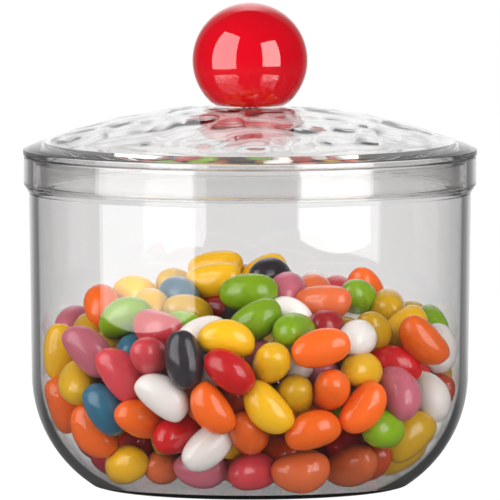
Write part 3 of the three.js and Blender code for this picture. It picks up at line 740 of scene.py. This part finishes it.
class Heap:
    """The space inside the jar that the middles of the beans fill."""

    def __init__(self, scene):
        beans = scene.candy_beans
        tilt = scene.candy_stage.tilt
        fit = scene.candy_lid.fit
        self.jar = Jar(scene.candy_jar)
        self.wall = scene.candy_jar.wall
        self.sight = np.array((0, math.cos(tilt), -math.sin(tilt)))
        self.width = beans.width
        self.radius = beans.width / 2
        self.reach = (beans.length - beans.width) / 2
        self.length = beans.length
        self.inner = self.jar.body - self.wall
        self.corner = self.jar.corner - self.wall - fit - self.radius
        self.floor = scene.candy_jar.floor + fit + self.radius
        self.high = beans.heap_height
        self.low = beans.heap_wall_height
        self.rounds = beans.rounds

    def top(self, radius):
        return self.high - (self.high - self.low) * (radius / self.inner) ** 2

    def keep_inside(self, points):
        """Moves points, one a row, to the nearest places in the jar."""
        centre_radius, centre_height = self.jar.centre
        reach = np.maximum(np.hypot(points[:, 0], points[:, 1]), LEAST_LENGTH)
        run = np.maximum(reach - centre_radius, 0)
        drop = np.minimum(points[:, 2] - centre_height, 0)
        excess = np.maximum(np.hypot(run, drop) / self.corner, 1)
        inner = np.minimum(reach, centre_radius) + run / excess
        kept = points * np.stack([inner / reach, inner / reach, np.ones(len(points))], axis=1)
        kept[:, 2] += drop / excess - drop
        kept[:, 2] = np.maximum(kept[:, 2], self.floor)
        return kept

    def seen_place(self, column, row, depth):
        """Where the sight line through a pixel first meets the space that the middles fill."""
        y = self.inner * (2 * np.arange(SIGHT_STEPS + 1) / SIGHT_STEPS - 1)
        level = (BASE_ROW - row) * PIXEL_SIZE
        height = (level + y * self.sight[2]) / self.sight[1]
        places = np.stack([np.full(len(y), (column - AXIS_COLUMN) * PIXEL_SIZE), y, height], axis=1)
        inside = self.keep_inside(places)
        limit = self.top(np.hypot(inside[:, 0], inside[:, 1])) - self.radius
        inside[:, 2] = np.minimum(inside[:, 2], limit)
        misses = np.linalg.norm(inside - places, axis=1)
        best = 0
        for index, miss in enumerate(misses):
            if miss < misses[best] - NEARER_SHARE * self.radius:
                best = index
        return self.keep_inside(places[best][None] + depth * self.width * self.sight)[0]

    def shown(self):
        """Middles and directions of the beans that show in the photograph."""
        middles, directions = [], []
        for index, (column, row, long, turn, depth, _) in enumerate(SHOWN_BEANS):
            shortest = self.width / PIXEL_SIZE
            span = min(max((long - shortest) / (2 * self.reach / PIXEL_SIZE), 0), 1)
            across = math.sqrt(1 - span ** 2) * (-1 if index % 2 else 1)
            angle = math.radians(turn)
            middles.append(self.seen_place(column, row, depth))
            directions.append((span * math.cos(angle), across, span * math.sin(angle)))
        return np.array(middles), np.array(directions)

    def hidden(self, shown):
        """Middles and directions of the other beans, ring by ring from the wall, level by level."""
        spacing = SPACING_SHARE * self.width
        level_step = LEVEL_SHARE * spacing
        middles, directions = [], []
        for level in range(math.ceil(self.high / level_step)):
            height = self.floor + level * level_step
            edge = self.keep_inside(np.array([[self.inner, 0, height]]))[0][0]
            for ring in range(math.floor(edge / spacing) + 1):
                radius = edge - ring * spacing
                count = max(1, math.floor(FULL_TURN * radius / spacing))
                for i in range(count):
                    key = level * LEVEL_COUNT + ring * RING_COUNT + i
                    angle = FULL_TURN * (i + scatter(level, ring)) / count
                    middle = np.array((radius * math.cos(angle), radius * math.sin(angle), height))
                    is_free = np.linalg.norm(shown - middle, axis=1).min() > ROOM_SHARE * self.width
                    if height <= self.top(radius) - HIDDEN_DEPTH_SHARE * self.radius and is_free:
                        turn = FULL_TURN * scatter(key, TURN_DRAW)
                        lift = 2 * scatter(key, LIFT_DRAW) - 1
                        flat = math.sqrt(1 - lift ** 2)
                        middles.append(middle)
                        directions.append((flat * math.cos(turn), flat * math.sin(turn), lift))
        return np.array(middles), np.array(directions)

    def settle(self, ends, homes):
        """Pushes overlapping beans apart, and holds the ones that show where they are seen."""
        first, second = np.triu_indices(len(ends), 1)
        held = len(homes)
        ways = (ends[:held, 0] - ends[:held, 1]) / 2
        layers = np.array([(depth, -row) for _, row, _, _, depth, _ in SHOWN_BEANS])
        rank = np.empty(held, int)
        rank[np.lexsort((layers[:, 1], layers[:, 0]))] = np.arange(held)
        for _ in range(self.rounds):
            one, other = ends[first], ends[second]
            near = np.linalg.norm(one[:, 0] - other[:, 0], axis=1) <= 2 * self.length - self.width
            one, other = one[near], other[near]
            along, across = one[:, 1] - one[:, 0], other[:, 1] - other[:, 0]
            apart = one[:, 0] - other[:, 0]
            a = (along ** 2).sum(1)
            b = (along * across).sum(1)
            c = (along * apart).sum(1)
            e = (across ** 2).sum(1)
            f = (across * apart).sum(1)
            start = np.clip((b * f - c * e) / np.maximum(a * e - b * b, a * e * LEAST_SHARE), 0, 1)
            t = np.clip((b * start + f) / e, 0, 1)
            s = np.clip((b * t - c) / a, 0, 1)
            gap = apart + along * s[:, None] - across * t[:, None]
            size = np.maximum(np.linalg.norm(gap, axis=1), LEAST_LENGTH)
            overlap = PUSH_SHARE * np.maximum(self.width - size, 0)
            push = gap * (overlap / size)[:, None]
            moves = np.zeros_like(ends)
            both = second[near] < held
            pair = first[near][both], second[near][both]
            behind = np.where(rank[pair[0]] > rank[pair[1]], *pair)
            np.add.at(moves, behind, self.sight * overlap[both][:, None, None])
            np.add.at(moves[:, 0], first[near], push * (1 - s)[:, None])
            np.add.at(moves[:, 1], first[near], push * s[:, None])
            np.add.at(moves[:, 0], second[near], push * (t - 1)[:, None])
            np.add.at(moves[:, 1], second[near], push * -t[:, None])
            ends = ends + moves
            middles = ends.mean(1)
            reach = ends[:, 0] - middles
            reach[:held] += RETURN_SHARE * (ways - reach[:held])
            reach *= self.reach / np.linalg.norm(reach, axis=1, keepdims=True)
            away = homes - middles[:held]
            depth = np.outer(away @ self.sight, self.sight)
            middles[:held] += RETURN_SHARE * (away - depth) + DEPTH_RETURN_SHARE * depth
            ends = np.stack([middles + reach, middles - reach], axis=1)
            for side in (0, 1):
                kept = self.keep_inside(ends[:, side])
                limit = self.top(np.hypot(kept[:, 0], kept[:, 1])) - HIDDEN_DEPTH_SHARE * self.radius
                limit[:held] += SHOWN_RISE_SHARE * self.radius
                kept[:, 2] = np.minimum(kept[:, 2], limit)
                ends[:, side] = kept
        return ends

    def hides(self, middle, shown):
        """Whether a bean hides one that shows in the photograph."""
        apart = shown - middle
        nearer = apart @ self.sight
        sideways = np.linalg.norm(apart - np.outer(nearer, self.sight), axis=1)
        is_nearer = nearer > HIDING_DEPTH_SHARE * self.width
        is_before = sideways < HIDING_SIDE_SHARE * self.width
        return (is_nearer & is_before).any()

    def cover(self, middle):
        """Room between a bean's middle and the outside of the heap."""
        centre_radius, centre_height = self.jar.centre
        radius = math.hypot(middle[0], middle[1])
        run = max(radius - centre_radius, 0)
        drop = min(middle[2] - centre_height, 0)
        to_wall = self.jar.corner - self.wall - math.hypot(run, drop)
        to_top = self.top(radius) - middle[2] - TOP_COVER_SHARE * self.radius
        return min(to_wall, middle[2], to_top)


def bean_mesh(settings):
    """One bean lying along X, a little thicker at one end, with its ends curled down."""
    bm = bmesh.new()
    radius = settings.width / 2
    half = settings.length / 2
    turn = Matrix.Rotation(QUARTER_TURN, 4, "Y")
    cage = CAGE_SHARE * radius
    bmesh.ops.create_uvsphere(bm, u_segments=BEAN_SIDES, v_segments=BEAN_RINGS, radius=cage, matrix=turn)
    for vert in bm.verts:
        share = vert.co.x / cage
        blunt = (3 * share - share ** 3) / 2
        vert.co.x = CAGE_END_SHARE * radius * share + (half - radius) * blunt
        vert.co.y *= 1 + TAPER_SHARE * share
        vert.co.z *= 1 + TAPER_SHARE * share
        vert.co.z += settings.bend * (RISE_SHARE - (vert.co.x / half) ** 2)
    mesh = bpy.data.meshes.new("bean")
    bm.to_mesh(mesh)
    bm.free()
    return mesh


class CANDYJAR_OT_beans(bpy.types.Operator):
    """Fill the jar with a heap of jelly beans"""

    bl_idname = "candyjar.beans"
    bl_label = "Jelly beans"

    def execute(self, context):
        heap = Heap(context.scene)
        homes, shown_ways = heap.shown()
        middles, hidden_ways = heap.hidden(homes)
        middles = np.concatenate([homes, middles])
        ways = np.concatenate([shown_ways, hidden_ways]) * heap.reach
        ends = heap.settle(np.stack([middles + ways, middles - ways], axis=1), homes)

        shape = bean_mesh(context.scene.candy_beans)
        picks = [name for name, (_, count) in BEAN_COLOURS.items() for _ in range(count)]
        groups = {name: bmesh.new() for name in BEAN_COLOURS}
        shades = {name: bm.verts.layers.float.new("shade") for name, bm in groups.items()}
        seen = ends[:len(homes)].mean(1)
        for index, (one, other) in enumerate(ends):
            middle = (one + other) / 2
            if index < len(homes):
                name = SHOWN_BEANS[index][-1]
            elif heap.cover(middle) > COVER_SHARE * heap.radius or heap.hides(middle, seen):
                continue
            else:
                name = picks[int(scatter(index, COLOUR_DRAW) * len(picks))]
            bm = groups[name]
            count = len(bm.verts)
            bm.from_mesh(shape)
            bm.verts.ensure_lookup_table()
            added = bm.verts[count:]
            way = Vector(one - other).to_track_quat("X", "Z").to_matrix().to_4x4()
            roll = Matrix.Rotation(FULL_TURN * scatter(index, ROLL_DRAW), 4, "X")
            size = Matrix.Scale(SMALLEST_SHARE + SPREAD_SHARE * scatter(index, SIZE_DRAW), 4)
            bmesh.ops.transform(bm, matrix=Matrix.Translation(middle) @ way @ roll @ size, verts=added)
            for vert in added:
                vert[shades[name]] = scatter(index, SHADE_DRAW)
        for name, bm in groups.items():
            paint = BEAN_COLOURS[name][0]
            piece = new_object("beans_" + name, bm, bean_shell("shell_" + name, paint), "jar",
                               ["candy_fill"])
            smooth = piece.modifiers.new("smooth", "SUBSURF")
            smooth.levels = smooth.render_levels = SMOOTH_LEVELS
        return {"FINISHED"}


def backdrop_strength(tree, place, path, settings):
    """How bright the studio is along a ray: white straight ahead, and in reflections white behind the
    jar, greyer to the sides of the backdrop, and dark in front."""
    way = tree.nodes.new("ShaderNodeVectorMath")
    way.operation = "NORMALIZE"
    parts = tree.nodes.new("ShaderNodeSeparateXYZ")
    tree.links.new(place, way.inputs[0])
    tree.links.new(way.outputs["Vector"], parts.inputs["Vector"])

    def falling(value, start, end, low):
        return mapped(tree, value, From_Min=math.tan(start), From_Max=math.tan(end), To_Min=1, To_Max=low)

    ahead = maths(tree, "MAXIMUM", parts.outputs["Y"], LEAST_AHEAD)
    beside = maths(tree, "DIVIDE", maths(tree, "ABSOLUTE", parts.outputs["X"], 0), ahead)
    above = maths(tree, "DIVIDE", parts.outputs["Z"], ahead)
    edge, end, top = settings.white_limit, settings.side_limit, settings.top_limit
    greying = falling(beside, edge, end, SIDE_SHARE)
    sides = maths(tree, "MULTIPLY", greying, falling(beside, end, 2 * end, 0))
    height = falling(above, (1 - TOP_BLUR) * top, (1 + TOP_BLUR) * top, 0)
    behind = maths(tree, "MULTIPLY", sides, height)
    straight = maths(tree, "SUBTRACT", 1, path.outputs["Glossy Depth"])
    level = maths(tree, "MAXIMUM", maths(tree, "MAXIMUM", behind, settings.front_share), straight)
    glow = maths(tree, "MULTIPLY", path.outputs["Is Camera Ray"], settings.direct_share)
    return maths(tree, "ADD", level, glow)


def pale_floor(settings, glow=0.92):
    """A matt floor that looks nearly white, keeps shadows, and is dark in front in reflections."""
    nodes = Nodes("pale_floor")
    nodes.set(Base_Color=(*settings.floor_colour, 1), Roughness=0.6)
    path = nodes.add("ShaderNodeLightPath")
    seen = maths(nodes.tree, "MAXIMUM", path.outputs["Is Camera Ray"], path.outputs["Is Glossy Ray"])
    seen = maths(nodes.tree, "MAXIMUM", seen, path.outputs["Is Transmission Ray"])
    lit = nodes.add("ShaderNodeEmission")
    nodes.link(backdrop_strength(nodes.tree, nodes.place, path, settings), lit.inputs["Strength"])
    blend(nodes.tree, maths(nodes.tree, "MULTIPLY", seen, glow), nodes.shader, lit, nodes.output)
    return nodes.material


def add_camera(scene, settings):
    data = bpy.data.cameras.new("camera")
    data.sensor_width = SENSOR_WIDTH
    data.lens = data.sensor_width * settings.distance / (PHOTO_SIZE * PIXEL_SIZE)
    camera = bpy.data.objects.new("camera", data)
    scene.collection.objects.link(camera)
    middle = (BASE_ROW - PHOTO_SIZE / 2) * PIXEL_SIZE / math.cos(settings.tilt)
    back = Vector((0, -math.cos(settings.tilt), math.sin(settings.tilt))) * settings.distance
    camera.location = Vector((0, 0, middle)) + back
    camera.rotation_euler = (QUARTER_TURN - settings.tilt, 0, 0)
    scene.camera = camera


def add_lamp(scene, name, power, azimuth, distance, width, low, high):
    """An upright soft box, with its lower and upper edges measured from the middle of the knob."""
    data = bpy.data.lights.new(name, "AREA")
    data.shape = "RECTANGLE"
    data.size = width
    data.size_y = high - low
    data.energy = power
    lamp = bpy.data.objects.new(name, data)
    lamp.visible_camera = False
    scene.collection.objects.link(lamp)
    way = Vector((math.sin(azimuth), -math.cos(azimuth), 0))
    knob = KNOB_HIGH.z - KNOB_HIGH.x
    lamp.location = way * distance + Vector((0, 0, knob + (low + high) / 2))
    lamp.rotation_euler = way.to_track_quat("Z", "Y").to_euler()


def add_world(scene, settings):
    world = bpy.data.worlds.new("studio")
    world.use_nodes = True
    scene.world = world
    tree = world.node_tree
    plain = tree.nodes["Background"]
    plain.inputs["Color"].default_value = (*settings.world_colour, 1)
    bright = tree.nodes.new("ShaderNodeBackground")
    bright.inputs["Color"].default_value = (1, 1, 1, 1)
    place = tree.nodes.new("ShaderNodeTexCoord").outputs["Generated"]
    path = tree.nodes.new("ShaderNodeLightPath")
    tree.links.new(backdrop_strength(tree, place, path, settings), bright.inputs["Strength"])
    blend(tree, path.outputs["Is Diffuse Ray"], bright, plain, tree.nodes["World Output"])


class CANDYJAR_OT_stage(bpy.types.Operator):
    """Add the camera, the floor and the studio light"""

    bl_idname = "candyjar.stage"
    bl_label = "Stage"

    def execute(self, context):
        scene = context.scene
        settings = scene.candy_stage
        add_camera(scene, settings)
        bm = bmesh.new()
        bmesh.ops.create_grid(bm, x_segments=2, y_segments=2, size=settings.floor_size / 2)
        mesh = bpy.data.meshes.new("floor")
        bm.to_mesh(mesh)
        bm.free()
        mesh.materials.append(pale_floor(settings))
        floor = bpy.data.objects.new("floor", mesh)
        scene.collection.objects.link(floor)
        floor.location.z = -settings.floor_drop

        add_lamp(scene, "left_lamp", settings.left_power, azimuth=math.radians(-54), distance=0.5,
                 width=0.5, low=-0.127, high=0.62)
        add_lamp(scene, "right_lamp", settings.right_power, azimuth=math.radians(44), distance=0.76,
                 width=0.52, low=-0.127, high=0.58)
        add_world(scene, settings)
        scene.view_settings.view_transform = "Standard"
        scene.cycles.glossy_bounces = settings.reflections
        return {"FINISHED"}


class CANDYJAR_PT_panel(bpy.types.Panel):
    """The pieces of the jar, in the order that they are made"""

    bl_label = "Candy Jar"
    bl_space_type = "VIEW_3D"
    bl_region_type = "UI"
    bl_category = "Candy Jar"

    def draw(self, context):
        for operator in OPERATORS:
            self.layout.operator(operator.bl_idname)


SETTINGS = {
    "candy_jar": JarSettings,
    "candy_lid": LidSettings,
    "candy_knob": KnobSettings,
    "candy_beans": BeanSettings,
    "candy_stage": StageSettings,
}
OPERATORS = (CANDYJAR_OT_stage, CANDYJAR_OT_jar, CANDYJAR_OT_lid, CANDYJAR_OT_seal, CANDYJAR_OT_knob,
             CANDYJAR_OT_beans)


def register():
    for cls in (*SETTINGS.values(), *OPERATORS, CANDYJAR_PT_panel):
        bpy.utils.register_class(cls)
    for name, group in SETTINGS.items():
        setattr(bpy.types.Scene, name, PointerProperty(type=group))


def unregister():
    for name in SETTINGS:
        delattr(bpy.types.Scene, name)
    for cls in reversed((*SETTINGS.values(), *OPERATORS, CANDYJAR_PT_panel)):
        bpy.utils.unregister_class(cls)


def main():
    register()
    bpy.ops.candyjar.stage()
    bpy.ops.candyjar.jar()
    bpy.ops.candyjar.lid()
    bpy.ops.candyjar.seal()
    bpy.ops.candyjar.knob()
    bpy.ops.candyjar.beans()


if __name__ == "__main__":
    main()
